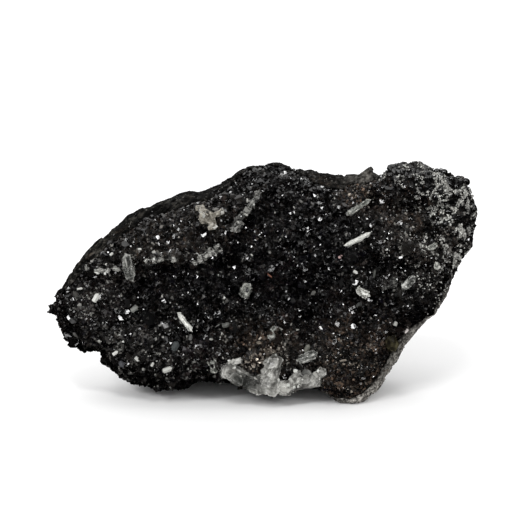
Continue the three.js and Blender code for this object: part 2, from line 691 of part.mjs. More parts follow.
// A six-sided crystal with its length along x. Its sides differ in width, and its pointed tips are cut
// askew. grow makes it larger all round, for the seat that it takes in the druse.
function crystalGeometry([length, width, thickness], seed, grow) {
  const random = randomStream(seed);
  const half = 0.5 * length + grow;
  const tip = 0.17 * length;
  const corners = Array.from({ length: 6 }, (_, i) => {
    const angle = ((i + 0.5 * (random() - 0.5)) * Math.PI) / 3;
    const uneven = 0.88 + 0.24 * random();
    return [
      (0.5 * width * uneven + grow) * Math.cos(angle),
      (0.5 * thickness * uneven + grow) * Math.sin(angle),
    ];
  });
  const points = [];
  for (const end of [-1, 1]) {
    const [skewY, skewZ] = [0.3 * (random() - 0.5), 0.3 * (random() - 0.5)];
    const level = half - tip * (0.7 + 0.5 * random());
    points.push([end * half, skewY * width, skewZ * thickness]);
    for (const [y, z] of corners) points.push([end * (level - (skewY * y + skewZ * z)), y, z]);
  }
  const faces = Array.from({ length: 6 }, (_, i) => {
    const [a, b] = [1 + i, 1 + ((i + 1) % 6)];
    return [0, b, a, a, b, b + 7, a, b + 7, a + 7, 7, a + 7, b + 7];
  });
  const geometry = new THREE.BufferGeometry();
  geometry.setAttribute("position", new THREE.Float32BufferAttribute(points.flat(), 3));
  geometry.setIndex(faces.flat());
  return geometry;
}

function crystalSolid({ at, turn, pitch, size, rise }, grow) {
  const { x, y } = seenAt(at, faceDepth(...at) + rise);
  const place = new THREE.Matrix4()
    .makeTranslation(x, y, faceDepth(x, y) + rise)
    .multiply(new THREE.Matrix4().makeRotationZ(THREE.MathUtils.degToRad(turn)))
    .multiply(new THREE.Matrix4().makeRotationY(-THREE.MathUtils.degToRad(pitch)));
  return solidOf(crystalGeometry(size, Math.round(100 * (x + y)), grow), place);
}

function groupSolid({ members, rise }, grow) {
  const crystals = members.map(([x, y, turn, length, width], i) =>
    crystalSolid(
      { at: [x, y], turn, pitch: 8 * ((i % 3) - 1), size: [length, width, 0.85 * width + 0.6], rise },
      grow,
    ),
  );
  return wasm.Manifold.union(crystals);
}

// Small crystals evenly spaced along the line of a vein, each turned and tilted its own way.
function veinSolid({ path, count }, grow) {
  const random = randomStream(count + Math.round(path[0][0]));
  const line = new THREE.CurvePath();
  for (let i = 0; i + 1 < path.length; i++)
    line.add(new THREE.LineCurve(new THREE.Vector2(...path[i]), new THREE.Vector2(...path[i + 1])));
  const crystals = Array.from({ length: count }, (_, i) => {
    const { x, y } = line.getPointAt(i / (count - 1));
    const width = between(random, VEIN_CRYSTAL.width);
    return crystalSolid(
      {
        at: [x, y + VEIN_CRYSTAL.spread * (2 * random() - 1)],
        turn: 180 * random(),
        pitch: 40 * (random() - 0.5),
        size: [between(random, VEIN_CRYSTAL.length), width, width],
        rise: VEIN_CRYSTAL.rise + 0.5 * (random() - 0.5),
      },
      grow,
    );
  });
  return wasm.Manifold.union(crystals);
}

function oliveSolid({ at, radius, rise }, grow) {
  const size = radius + grow;
  const { x, y } = seenAt(at, faceDepth(...at) + rise);
  const place = new THREE.Matrix4()
    .makeTranslation(x, y, faceDepth(x, y) + rise)
    .multiply(new THREE.Matrix4().makeRotationFromEuler(new THREE.Euler(0.4, 0.3, 0.2)))
    .scale(new THREE.Vector3(0.8 * size, size, 0.9 * size));
  return solidOf(new THREE.IcosahedronGeometry(1), place);
}

// Everything below a level above the floor, in the frame of the face.
function belowFloor(level) {
  const size = 400;
  const lean = new THREE.Matrix4().makeRotationX(-THREE.MathUtils.degToRad(90 - LEAN_DEG));
  const place = lean.multiply(
    new THREE.Matrix4().makeTranslation(0, 0, level - FLOOR_AT_FACE - size / 2),
  );
  return solidOf(new THREE.BoxGeometry(size, size, size), place);
}

const materials = {
  rock: new THREE.MeshStandardMaterial({ color: 0x33322f, roughness: 0.8, metalness: 0 }),
  druse: new THREE.MeshStandardMaterial({ color: 0x0c0b0d, roughness: 0.25, metalness: 0 }),
  quartz: new THREE.MeshStandardMaterial({ color: 0xb4b6b1, roughness: 0.2, metalness: 0 }),
  olive: new THREE.MeshStandardMaterial({ color: 0x2b2618, roughness: 0.25, metalness: 0 }),
};

const quartz = [
  ...CRYSTALS.map((spec) => ({ name: spec.name, solidAt: (grow) => crystalSolid(spec, grow) })),
  ...GROUPS.map((spec) => ({ name: spec.name, solidAt: (grow) => groupSolid(spec, grow) })),
  ...VEINS.map((spec) => ({ name: spec.name, solidAt: (grow) => veinSolid(spec, grow) })),
];
const olive = (grow) => oliveSolid(OLIVE, grow);

const seats = wasm.Manifold.union([...quartz.map(({ solidAt }) => solidAt(GAP)), olive(GAP)]);
const matrix = buildStone().subtract(buildRoom(GAP)).subtract(seats).subtract(belowFloor(0));
const druse = buildDruse()
  .add(druseCrystals().intersect(buildRoom(0.1)))
  .subtract(seats)
  .subtract(belowFloor(CLEAR_OF_FLOOR));

const specimen = new THREE.Group();
specimen.rotation.x = THREE.MathUtils.degToRad(90 - LEAN_DEG);
specimen.position.set(-ORIGIN_RIGHT, -ORIGIN_BACK, FLOOR_AT_FACE);
specimen.add(meshOf("matrix", matrix, materials.rock));
specimen.add(meshOf("black_druse", druse, materials.druse));
for (const { name, solidAt } of quartz)
  specimen.add(meshOf(name, solidAt(0).subtract(belowFloor(CLEAR_OF_FLOOR)), materials.quartz));
specimen.add(meshOf(OLIVE.name, olive(0), materials.olive));

const part = new THREE.Group();
part.add(specimen);

export default part;
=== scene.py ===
import math

import bmesh
import bpy
import numpy as np
from mathutils import Matrix, Vector, noise


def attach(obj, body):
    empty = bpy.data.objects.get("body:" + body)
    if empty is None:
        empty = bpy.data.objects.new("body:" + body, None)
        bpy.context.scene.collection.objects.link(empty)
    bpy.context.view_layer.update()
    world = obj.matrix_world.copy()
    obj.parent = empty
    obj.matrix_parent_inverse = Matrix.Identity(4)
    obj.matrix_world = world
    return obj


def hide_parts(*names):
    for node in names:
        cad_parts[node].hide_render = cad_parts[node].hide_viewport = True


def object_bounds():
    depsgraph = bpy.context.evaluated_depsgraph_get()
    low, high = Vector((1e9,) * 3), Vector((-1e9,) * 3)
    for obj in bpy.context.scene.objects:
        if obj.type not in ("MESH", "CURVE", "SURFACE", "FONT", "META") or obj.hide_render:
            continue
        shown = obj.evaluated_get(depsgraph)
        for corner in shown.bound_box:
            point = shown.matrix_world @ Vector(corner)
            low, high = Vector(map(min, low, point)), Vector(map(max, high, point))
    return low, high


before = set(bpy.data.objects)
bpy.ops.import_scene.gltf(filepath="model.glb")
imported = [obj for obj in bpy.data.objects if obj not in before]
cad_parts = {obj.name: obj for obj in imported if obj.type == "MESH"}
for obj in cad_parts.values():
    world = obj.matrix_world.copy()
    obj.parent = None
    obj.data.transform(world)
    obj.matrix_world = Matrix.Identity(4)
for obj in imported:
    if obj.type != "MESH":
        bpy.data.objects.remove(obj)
cad_low, cad_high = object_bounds()


# Host rock
# A slab of dark, fine-grained, layered rock. It is natural rock broken off a larger mass, so its flanks
# and back are rough breaks and nothing on it is worked.

# The crystal face leans back 15 degrees. Its own frame has x along it, y up it and z out of it, in
# millimetres, and this matrix takes that frame to the part's, in metres.
MM = 0.001
LEAN = math.radians(15)
FACE = Matrix.Translation((-0.00014, -0.0128, -0.00104)) @ Matrix.Rotation(math.pi / 2 - LEAN, 4, "X")
FACE = FACE @ Matrix.Scale(MM, 4)


def on_face(points):
    """Points in metres, brought into the frame of the face."""
    back = np.array(FACE.inverted())
    return points @ back[:3, :3].T + back[:3, 3]


def in_part(points):
    """Points in the frame of the face, brought into the part's frame in metres."""
    out = np.array(FACE)
    return points @ out[:3, :3].T + out[:3, 3]


def linear(hex_colour):
    """An sRGB hex colour as linear red, green and blue."""
    parts = [int(hex_colour[i : i + 2], 16) / 255 for i in (0, 2, 4)]
    return [c / 12.92 if c <= 0.04045 else ((c + 0.055) / 1.055) ** 2.4 for c in parts]


def new_material(name):
    """An empty node material and its surface shader."""
    material = bpy.data.materials.new(name)
    material.use_nodes = True
    return material, material.node_tree.nodes["Principled BSDF"]


def add(material, kind, settings=None, links=None, feeds=None):
    """A new node, with its sockets or attributes set, its links, and the shader socket it feeds.
    A colour ramp takes stops, as (position, hex colour)."""
    tree = material.node_tree
    node = tree.nodes.new("ShaderNode" + kind)
    for key, value in (settings or {}).items():
        if key == "stops":
            elements = node.color_ramp.elements
            while len(elements) < len(value):
                elements.new(0.5)
            for element, (position, hex_colour) in zip(elements, value):
                element.position = position
                element.color = (*linear(hex_colour), 1)
        elif isinstance(key, int) or key in node.inputs:
            node.inputs[key].default_value = value
        else:
            setattr(node, key, value)
    for key, source in (links or {}).items():
        tree.links.new(source, node.inputs[key])
    if feeds:
        tree.links.new(node.outputs[0], tree.nodes["Principled BSDF"].inputs[feeds])
    return node


def bump(x, y, at, half, turn=0):
    """A soft spot on the face: 1 in its middle, 0 well outside it."""
    a = math.radians(turn)
    along = (x - at[0]) * math.cos(a) + (y - at[1]) * math.sin(a)
    across = (y - at[1]) * math.cos(a) - (x - at[0]) * math.sin(a)
    return np.exp(-((along / half[0]) ** 2) - (across / half[1]) ** 2)


def blend(x, y, spots):
    """Soft spots added up, each with its middle, half-sizes, turn and strength."""
    return sum(strength * bump(x, y, at, half, turn) for at, half, turn, strength in spots)


def facet(point, size):
    """Flat chips of one size in millimetres, each tilted its own way, as a height from -0.5 to 0.5."""
    site = Vector(noise.voronoi(point / size)[1][0])
    tilt = noise.cell_vector(site * 50) - Vector((0.5, 0.5, 0.5))
    return 2 * tilt.dot(point / size - site)


# the flat spot that the specimen stands on stays flat: below this height in metres, little is worn off
FOOT_HEIGHT, FOOT_WEAR = 0.0004, 0.15


def fine_copy(node, cell, wear):
    """A copy of a solid's mesh in even cells of one size in millimetres. Each corner moves inwards by
    wear(point, way out), in millimetres. Also gives where the corners were, in the frame of the face."""
    copy = bpy.data.objects.new("copy", node.data.copy())
    bpy.context.scene.collection.objects.link(copy)
    remesh = copy.modifiers.new("fine", "REMESH")
    remesh.mode = "VOXEL"
    remesh.voxel_size = MM * cell * 1
    graph = bpy.context.evaluated_depsgraph_get()
    mesh = bpy.data.meshes.new_from_object(copy.evaluated_get(graph))
    bpy.data.objects.remove(copy)
    corners = np.empty(3 * len(mesh.vertices))
    mesh.vertices.foreach_get("co", corners)
    outward = np.empty(3 * len(mesh.vertices))
    mesh.vertices.foreach_get("normal", outward)
    points = on_face(corners.reshape(-1, 3))
    ways = outward.reshape(-1, 3) @ np.array(FACE.to_3x3().normalized())
    worn = np.array([wear(Vector(point), way) for point, way in zip(points, ways)])
    worn *= np.where(corners[2::3] < FOOT_HEIGHT, FOOT_WEAR, 1)
    corners = corners.reshape(-1, 3) - outward.reshape(-1, 3) * worn[:, None] * MM
    mesh.vertices.foreach_set("co", np.clip(corners, cad_low, cad_high).ravel())
    return mesh, points


def mark(mesh, name, values):
    """Gives each corner of a mesh a value that its material reads by this name."""
    mesh.attributes.new(name, "FLOAT", "POINT").data.foreach_set("value", values)


def piece(name, mesh, material):
    """Puts a mesh into the scene as a part of the specimen. Each of its faces gets a cell of its own, with a
    margin, in one square picture that its patterns can be drawn into."""
    count = len(mesh.polygons)
    side = math.ceil(math.sqrt(count))
    totals = np.empty(count, int)
    mesh.polygons.foreach_get("loop_total", totals)
    face = np.repeat(np.arange(count), totals)
    corner = np.arange(len(face)) - np.repeat(np.cumsum(totals) - totals, totals)
    near, far = 0.14, 0.86
    inset = np.array([[near, near], [far, near], [far, far], [near, far]])
    cell = np.stack([face % side, face // side], 1)
    layer = mesh.uv_layers.new(name="OFBake")
    layer.data.foreach_set("uv", ((cell + inset[corner]) / side).ravel())
    mesh.materials.clear()
    mesh.materials.append(material)
    made = bpy.data.objects.new(name, mesh)
    bpy.context.scene.collection.objects.link(made)
    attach(made, "root")
    return made


# schist, broken along and across its layers: dull, dark grey, with fibrous lighter streaks
rock_material, shader = new_material("broken schist")
place = add(rock_material, "TexCoord").outputs["Object"]
# the layers are one or two millimetres apart and run up to the right, bent and broken
LAYER_TURN = math.radians(-33)
layers = add(rock_material, "Mapping", {"vector_type": "TEXTURE", "Rotation": (0, LAYER_TURN, 0),
                                        "Scale": (0.007, 0.004, 0.0016)}, {"Vector": place})
streaks = add(rock_material, "TexNoise", {"Scale": 1, "Detail": 7, "Roughness": 0.75, "Distortion": 0.8},
              {"Vector": layers.outputs["Vector"]}).outputs["Fac"]
tone = add(rock_material, "ValToRGB", {"stops": [(0.38, "080807"), (0.5, "201e1b"), (0.64, "635f58")]},
           {"Fac": streaks}).outputs["Color"]
# a Mix node's settings for colours, and its sockets for the share, the two colours and the result
COLOURS = {"data_type": "RGBA"}
SHARE, FIRST, SECOND, MIXED = 0, 6, 7, 2
# lighter and darker beds a centimetre across, and dark grains and pits about a millimetre across
BEDS = (110, 0.5, [(0.4, "8a8a8a"), (0.6, "ffffff")])
PITS = (800, 0.7, [(0.42, "303030"), (0.58, "ffffff")])
for scale, roughness, stops in (BEDS, PITS):
    patches = add(rock_material, "TexNoise", {"Scale": scale, "Detail": 4, "Roughness": roughness},
                  {"Vector": place}).outputs["Fac"]
    patches = add(rock_material, "ValToRGB", {"stops": stops}, {"Fac": patches}).outputs["Color"]
    tone = add(rock_material, "Mix", {**COLOURS, "blend_type": "MULTIPLY", SHARE: 1},
               {FIRST: tone, SECOND: patches}).outputs[MIXED]
# brown stains about 6 mm across
stain = add(rock_material, "TexNoise", {"Scale": 160, "Detail": 3}, {"Vector": place}).outputs["Fac"]
stain = add(rock_material, "MapRange", {"From Min": 0.5, "From Max": 0.72},
            {"Value": stain}).outputs["Result"]
tone = add(rock_material, "Mix", {**COLOURS, "blend_type": "MULTIPLY", SECOND: (*linear("b08f72"), 1)},
           {SHARE: stain, FIRST: tone}).outputs[MIXED]
# the paler rim at the lower right and the horn, speckled in millimetres: partly weathering, and partly
# painted light, made paler to make up for the shade there, where the rim faces away from the lamps
rim = add(rock_material, "Attribute", {"attribute_name": "weathered"}).outputs["Fac"]
speckle = add(rock_material, "TexNoise", {"Scale": 1100, "Detail": 4, "Roughness": 0.75},
              {"Vector": place}).outputs["Fac"]
chalky_and_lit = add(rock_material, "ValToRGB", {"stops": [(0.4, "2f2c2a"), (0.5, "6b6863"), (0.61, "bab6af")]},
             {"Fac": speckle}).outputs["Color"]
tone = add(rock_material, "Mix", COLOURS, {SHARE: rim, FIRST: tone, SECOND: chalky_and_lit}).outputs[MIXED]
# pale grains a third of a millimetre across
grains = add(rock_material, "TexVoronoi", {"Scale": 2600}, {"Vector": place}).outputs["Color"]
speck = add(rock_material, "MapRange", {"From Min": 0.86, "From Max": 0.96},
            {"Value": grains}).outputs["Result"]
tone = add(rock_material, "Mix", {**COLOURS, SECOND: (*linear("5c5a55"), 1)},
           {SHARE: speck, FIRST: tone}).outputs[MIXED]
rock_material.node_tree.links.new(tone, shader.inputs["Base Color"])
add(rock_material, "MapRange", {"To Min": 0.95, "To Max": 0.6}, {"Value": streaks}, feeds="Roughness")
shader.inputs["Specular IOR Level"].default_value = 0.12
add(rock_material, "Bump", {"Strength": 0.8, "Distance": 0.00035}, {"Height": streaks}, feeds="Normal")


def rock_wear(point, way):
    """Layers, cracks along them, chipped places and grain, as a depth in millimetres. The rock behind the
    lump at the upper right keeps its shape, so that the crust there lies against it."""
    along = Matrix.Rotation(LAYER_TURN, 3, "Z") @ point
    layered = noise.noise(Vector((along.x / 8, along.y / 1.3, along.z / 1.8)))
    crack = max(0, 1 - abs(noise.noise(Vector((along.x / 10, along.y / 2.2, along.z / 3.5)))) / 0.09)
    chipped = facet(point, 4.5) + 0.5 * facet(point, 1.8)
    grain = noise.noise(point / 0.7)
    depth = min(1.1, max(0, 0.3 + 0.4 * layered + 0.8 * crack + 0.5 * chipped + 0.2 * grain))
    return depth * (1 - 0.9 * bump(point.x, point.y, (44, 55), (13, 7)))


rock_mesh, rock_points = fine_copy(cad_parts["matrix"], cell=0.52, wear=rock_wear)
# paler along the lower right rim, a little at the horn, and at the lower right foot: partly weathering, and
# partly painted light against the shade there
WEATHERING_AND_PAINTED_LIGHT = [((39, 15.5), (19, 3.6), 53, 1), ((25, 56), (4, 5), 0, 0.28), ((25, 2), (7, 4), 0, 1)]
x, y, z = rock_points.T
near_front = np.clip((z + 12) / 9, 0, 1)
mark(rock_mesh, "weathered", np.clip(blend(x, y, WEATHERING_AND_PAINTED_LIGHT) * near_front, 0, 1))
host_rock = piece("host_rock", rock_mesh, rock_material)
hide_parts("matrix")


# Black druse
# A crust of small black crystals that grew side by side out of the rock and into each other. The solid
# crust is the bed that they grow out of, and shows as dark hollows between them.

# the bed, of the same mineral as the crystals: near-black, in dull grains half a millimetre across
bed_material, shader = new_material("crystal bed")
place = add(bed_material, "TexCoord").outputs["Object"]
cells = add(bed_material, "TexVoronoi", {"Scale": 1900}, {"Vector": place})
mixed = add(bed_material, "SeparateColor", links={"Color": cells.outputs["Color"]}).outputs["Red"]
add(bed_material, "ValToRGB", {"stops": [(0, "020202"), (0.6, "060506"), (1, "141110")]}, {"Fac": mixed},
    feeds="Base Color")
add(bed_material, "Bump", {"Strength": 0.9, "Distance": 0.0004}, {"Height": cells.outputs["Distance"]},
    feeds="Normal")
shader.inputs["Roughness"].default_value = 0.35

# the lump at the upper right and its flank
LUMP = [((44, 55), (10, 5.5), -14, 1.5), ((49, 46), (5, 8), 0, 1)]


def on_lump(x, y):
    """How far a place lies on the lump: 0 well off it, and 1 or more on it."""
    return blend(x, y, LUMP)


def bed_wear(point, way):
    """Hollows 2 to 6 mm across in the front of the bed, and room under the globules, in millimetres."""
    hollow = 0.4 + 0.6 * noise.noise(point / 6) + 0.6 * noise.noise(point / 2.4)
    hollow += 0.2 * noise.noise(point / 0.9)
    room = 0.6 * min(1, on_lump(point.x, point.y))
    return max(0, hollow + room) * min(1, max(0, 1.6 * way[2]))


bed_mesh, _ = fine_copy(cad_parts["black_druse"], cell=0.66, wear=bed_wear)
bed = piece("crystal_bed", bed_mesh, bed_material)
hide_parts("black_druse")


def surface(*nodes, least=-0.15):
    """The triangles of meshes that look out of the face by more than least, which is -1 for straight back
    and 1 for straight out. Gives their corners in mm, shares of the area and ways out."""
    found = []
    for node in nodes:
        mesh = node.data
        mesh.calc_loop_triangles()
        corners = np.empty(3 * len(mesh.loop_triangles), int)
        mesh.loop_triangles.foreach_get("vertices", corners)
        points = np.empty(3 * len(mesh.vertices))
        mesh.vertices.foreach_get("co", points)
        found.append(on_face(points.reshape(-1, 3))[corners.reshape(-1, 3)])
    found = np.concatenate(found)
    cross = np.cross(found[:, 1] - found[:, 0], found[:, 2] - found[:, 0])
    size = np.linalg.norm(cross, axis=1) + 1e-12
    out = cross / size[:, None]
    front = out[:, 2] > least
    return found[front], size[front] / size[front].sum(), out[front]


def scatter(ground, count, seed, weight=None):
    """Random points on a surface, and the way out of it at each. weight(x, y) thins them out."""
    corners, share, out = ground
    chance = np.random.default_rng(seed)
    count = count
    picked = chance.choice(len(share), count, p=share)
    a, b = chance.random((2, count, 1))
    over = a + b > 1
    a, b = np.where(over, 1 - a, a), np.where(over, 1 - b, b)
    first, second, third = corners[picked].transpose(1, 0, 2)
    points = first + a * (second - first) + b * (third - first)
    kept = chance.random(count) < (weight(points[:, 0], points[:, 1]) if weight else 1)
    return points[kept], out[picked][kept]


def cloudy(points, size):
    """Smooth noise from -1 to 1 at each point, with patches of one size in millimetres."""
    return np.array([noise.noise(Vector(point) / size) for point in points])


def as_arrays(solid):
    """The corners and the triangles of a bmesh, which is freed."""
    corners = np.array([v.co for v in solid.verts])
    faces = np.array([[v.index for v in f.verts] for f in solid.faces])
    solid.free()
    return corners, faces


def habit(points):
    """The convex crystal with these corners, as corners and triangles."""
    solid = bmesh.new()
    for point in points:
        solid.verts.new(point)
    bmesh.ops.convex_hull(solid, input=solid.verts)
    bmesh.ops.triangulate(solid, faces=solid.faces)
    bmesh.ops.recalc_face_normals(solid, faces=solid.faces)
    solid.verts.index_update()
    return as_arrays(solid)


# every random size, lie and tone below comes out of this one sequence, so their order counts
random = np.random.default_rng(5)
FULL_TURN = 6.3


def axes_to(directions, spin):
    """Rotation matrices that stand z along each direction and turn by spin about it."""
    z = directions / np.linalg.norm(directions, axis=1, keepdims=True)
    helper = np.where(np.abs(z[:, :1]) < 0.8, [[1.0, 0, 0]], [[0, 1.0, 0]])
    x = np.cross(helper, z)
    x /= np.linalg.norm(x, axis=1, keepdims=True)
    y = np.cross(z, x)
    c, s = np.cos(spin)[:, None], np.sin(spin)[:, None]
    return np.stack([c * x + s * y, c * y - s * x, z], axis=2)


def leaning(ways, spread):
    """Crystals that stand out along these ways, lean off them at random and turn about themselves."""
    return axes_to(ways + random.normal(0, spread, ways.shape), random.uniform(0, FULL_TURN, len(ways)))


def mixed_sizes(count, middle, spread, least=0, most=np.inf):
    """Random sizes in millimetres, many of them small. The middle and the spread are of their logarithm."""
    return np.clip(np.exp(random.normal(middle, spread, count)), least, most)


def uneven(reach, least, most):
    """Each size times three random numbers, for the crystal's width, depth and length."""
    return reach.reshape(-1, 1) * random.uniform(least, most, (len(reach), 3))


def grow(name, shapes, points, turns, sizes, colours, material, smooth=False):
    """Joins one crystal at each point into a mesh. Each takes one of the shapes in turn."""
    corners, faces, shades, first = [], [], [], 0
    for k, (shape, shape_faces) in enumerate(shapes):
        mine = slice(k, None, len(shapes))
        placed = np.einsum("nij,nkj->nki", turns[mine], shape[None] * sizes[mine][:, None, :])
        placed += points[mine][:, None, :]
        corners.append(placed.reshape(-1, 3))
        starts = first + np.arange(len(placed))[:, None, None] * len(shape)
        faces.append((shape_faces[None] + starts).reshape(-1, 3))
        shades.append(np.repeat(colours[mine], len(shape_faces), axis=0))
        first += len(placed) * len(shape)
    corners = in_part(np.concatenate(corners))
    # all of it stays a hair inside the box of the solids
    hair = 1e-6
    corners = np.clip(corners, np.array(cad_low) + hair, np.array(cad_high) - hair)
    faces, shades = np.concatenate(faces), np.concatenate(shades)
    mesh = bpy.data.meshes.new(name)
    mesh.from_pydata(corners, [], faces)
    shade = mesh.attributes.new("shade", "FLOAT_COLOR", "FACE")
    shade.data.foreach_set("color", np.c_[shades, np.ones(len(shades))].ravel())
    if smooth:
        mesh.shade_smooth()
    else:
        mesh.shade_flat()
    return piece(name, mesh, material)


signs = [(a, b, c) for a in (-1, 1) for b in (-1, 1) for c in (-1, 1)]
octahedron = habit([(1, 0, 0), (-1, 0, 0), (0, 1, 0), (0, -1, 0), (0, 0, 1), (0, 0, -1)])
blunt_tetrahedron = habit([
    (a * p / 2.4, b * q / 2.4, c * r / 2.4)
    for a, b, c in signs if a * b * c > 0
    for p, q, r in [(3, 1, 1), (1, 3, 1), (1, 1, 3)]
])
cube_and_octahedron = habit([
    (0.75 * a * p, 0.75 * b * q, 0.75 * c * r)
    for a, b, c in signs
    for p, q, r in [(1, 1, 0), (0, 1, 1), (1, 0, 1)]
])
wedge = habit([(1, 0.1, -0.3), (-0.8, 0.6, 0), (-0.7, -0.7, 0.1), (0.5, -0.3, 0.8), (-0.1, 0.7, 0.7),
               (0, 0, -0.8)])


def black_faces(name, bright, dull):
    """Black sulphide or oxide crystals as they grew: faces like dark glass, etched in patches 0.7 mm
    across, with roughness from bright to dull."""
    material, shader = new_material(name)
    add(material, "Attribute", {"attribute_name": "shade"}, feeds="Base Color")
    place = add(material, "TexCoord").outputs["Object"]
    etching = add(material, "TexNoise", {"Scale": 1400, "Detail": 2}, {"Vector": place}).outputs["Fac"]
    add(material, "MapRange", {"From Min": 0.35, "From Max": 0.7, "To Min": bright, "To Max": dull},
        {"Value": etching}, feeds="Roughness")
    shader.inputs["IOR"].default_value = 1.8
    return material


black_material = black_faces("black crystal faces", bright=0.06, dull=0.36)
# the largest crystals are etched all over, so they gleam softly and don't flash
etched_material = black_faces("etched black crystal faces", bright=0.3, dull=0.5)

# where the druse is stained brown, dusted grey, and tinged red
BROWN = [
    ((24, 9), (13, 11), 0, 1.2), ((24.6, 54), (3.6, 3.4), 0, 2.5), ((-1.5, 15), (6, 6), 0, 1.3),
    ((-24, 42), (20, 7), 20, 0.35), ((40, 48), (10, 10), 0, 0.5), ((24, 54), (6, 4), 0, 0.5),
]
GREY = [
    ((-24, 43), (20, 5), 24, 0.3), ((-27, 37.5), (17, 3), 8, 0.4), ((-33, 14), (12, 8), -25, 0.45),
    ((36, 43), (8, 6), 0, 0.55), ((48, 43), (6, 12), 0, 0.4), ((33, 29), (8, 4), 0, 0.35),
    ((3, 12), (15, 5), 0, 0.6), ((-42, 27), (7, 5), 0, 0.3),
]
RED = [((-43, 27), (9, 6), 0, 0.2), ((-14, 12), (9, 5), 0, 0.25), ((2, 33), (6, 5), 0, 0.25)]
# painted shade: the crystals' colour is darkened on the floors of the deepest hollows and pits, under the
# ledge, and on the terraces that the light overhead would make too bright
PAINTED_SHADE = [
    ((12.2, 22.5), (1.6, 5.5), 0, 1), ((28, 22.2), (1.6, 4.5), 0, 1), ((42, 43.5), (1.8, 2.6), 0, 1),
    ((35, 34.8), (5, 1.6), -8, 1), ((28, 52), (2.6, 2.2), 30, 1), ((21.5, 54.7), (1.7, 2.6), 0, 0.8),
    ((-10, 36), (3.4, 2.4), 25, 1), ((-24, 34), (4, 1.6), 5, 0.8), ((38, 49.5), (6, 1.8), 8, 0.8),
    ((-22, 42), (20, 6), 22, 0.4), ((4, 56), (11, 4), 0, 0.4),
]
# black with a trace of violet or brown, and how much of the druse has each
BLACKS = np.array([linear(c) for c in ("030304", "070606", "0b0909", "08070d", "14100e", "262321")])
BLACK_SHARES = [0.38, 0.22, 0.14, 0.1, 0.1, 0.06]


def druse_colours(points):
    """A near-black for each crystal, with the tints that different parts of the face have, and painted shade
    in the hollows and on the terraces.
    """
    x, y = points[:, 0], points[:, 1]
    count = len(points)
    colours = BLACKS[random.choice(len(BLACKS), count, p=BLACK_SHARES)]
    for spots, tint in ((BROWN, "5c4d41"), (GREY, "5b5854"), (RED, "2c161a")):
        share = np.clip(blend(x, y, spots), 0, 1) * random.random(count) ** 2.4
        colours = colours + (np.array(linear(tint)) - colours) * share[:, None]
    patches = np.exp(1.3 * cloudy(points, 4.5) + 0.9 * cloudy(points, 1.7))
    # painted shade: darker in the hollows, under the ledge and on the terraces
    patches *= 1 - 0.8 * np.clip(blend(x, y, PAINTED_SHADE), 0, 1)
    return colours * (patches * random.uniform(0.3, 1.4, count))[:, None]


def quartz_solids(*parts):
    """The solids of quartz pieces, by the second half of their names."""
    return [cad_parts["quartz_" + part] for part in parts]


# most of the crystals stand on the bed, and few of them where the globules of the lump are
crust = surface(bed)
spots, ways = scatter(crust, count=33000, seed=6, weight=lambda x, y: 1 - 0.9 * np.clip(on_lump(x, y), 0, 1))

# some stand in clumps on the quartz of the ledge and the streak. They leave a line along the ledge bare.
LINE_X, LINE_Y = (-42, -34, -27, -17, -11.5), (34, 34, 36.4, 37.1, 39)
ledge = surface(*quartz_solids("vein_left", "vein_middle", "vein_right", "streak"))
above, up = scatter(ledge, count=1500, seed=7)
off_line = np.abs(above[:, 1] - np.interp(above[:, 0], LINE_X, LINE_Y))
beside = (off_line > random.uniform(0.8, 1.6, len(above))) & (above[:, 0] < -17)
clumps = (cloudy(above, 1.3) > 0.4) | beside & (cloudy(above, 0.8) > -0.2)
above, up = above[clumps], up[clumps]

# a few stand on single quartz crystals
single = surface(*quartz_solids("knot", "tablet", "stub", "leaf_left"))
few, up_few = scatter(single, count=240, seed=10)
clumps = cloudy(few, 1.1) > 0.05
few, up_few = few[clumps], up_few[clumps]

# the rest stand under the lip of the crust behind the lump
lip, down = scatter(surface(bed, least=-0.9), count=30000, seed=9,
                    weight=lambda x, y: bump(x, y, (42, 59.5), (11, 2), -14))

# those on quartz are sunk by the depth that its faces are worn
spots = np.concatenate([spots, above - 0.4 * up, few - 0.15 * up_few, lip])
ways = np.concatenate([ways, up, up_few, down])
x, y = spots[:, 0], spots[:, 1]
# they are finer on the lump, its flank and the foot, and coarser along the lower left edge
FINER = [((25, 8), (14, 12), 0, 1), ((46, 48), (9, 14), 0, 1), ((24.6, 54), (3.6, 3.4), 0, 1.6)]
COARSER = [((-33, 12), (14, 6), -25, 1), ((-42, 26), (9, 6), 0, 0.6)]
reach = mixed_sizes(len(spots), middle=-1.05, spread=0.42)
reach = reach * (1 - 0.4 * np.clip(blend(x, y, FINER), 0, 1.5)) * (1 + 0.2 * blend(x, y, COARSER))
reach = np.clip(reach * np.exp(0.5 * cloudy(spots, 5)), 0.13, 1.1)
spots = spots - ways * (0.2 * reach)[:, None]
lie = leaning(ways, spread=0.55)
sizes = uneven(reach, 0.65, 1.3)
tones = druse_colours(spots)
# the larger ones are darker, so that their gleam stands out
tones[reach > 0.6] *= 0.4
from_left = np.argsort(spots[:, 0])
strips = ["druse_left", "druse_middle_left", "druse_middle_right", "druse_right"]
for name, some in zip(strips, np.array_split(from_left, len(strips))):
    some = random.permutation(some)
    grow(name, [octahedron, blunt_tetrahedron, wedge, cube_and_octahedron], spots[some], lie[some],
         sizes[some], tones[some], black_material)

# blocks about two millimetres across that sit deep in the others, most of them at the lower left
BLOCKS = [((-24, 17), (16, 9), -20, 0.7), ((24, 28), (12, 7), 0, 0.5), ((-2, 26), (12, 14), 0, 0.3)]
spots, ways = scatter(crust, count=340, seed=12, weight=lambda x, y: blend(x, y, BLOCKS))
reach = random.uniform(0.7, 1.3, (len(spots), 1))
lie = leaning(ways, spread=0.4)
sizes = uneven(reach, 0.7, 1.2)
grow("druse_blocks", [octahedron, cube_and_octahedron, blunt_tetrahedron], spots - ways * 0.4 * reach, lie,
     sizes, 0.6 * druse_colours(spots), etched_material)

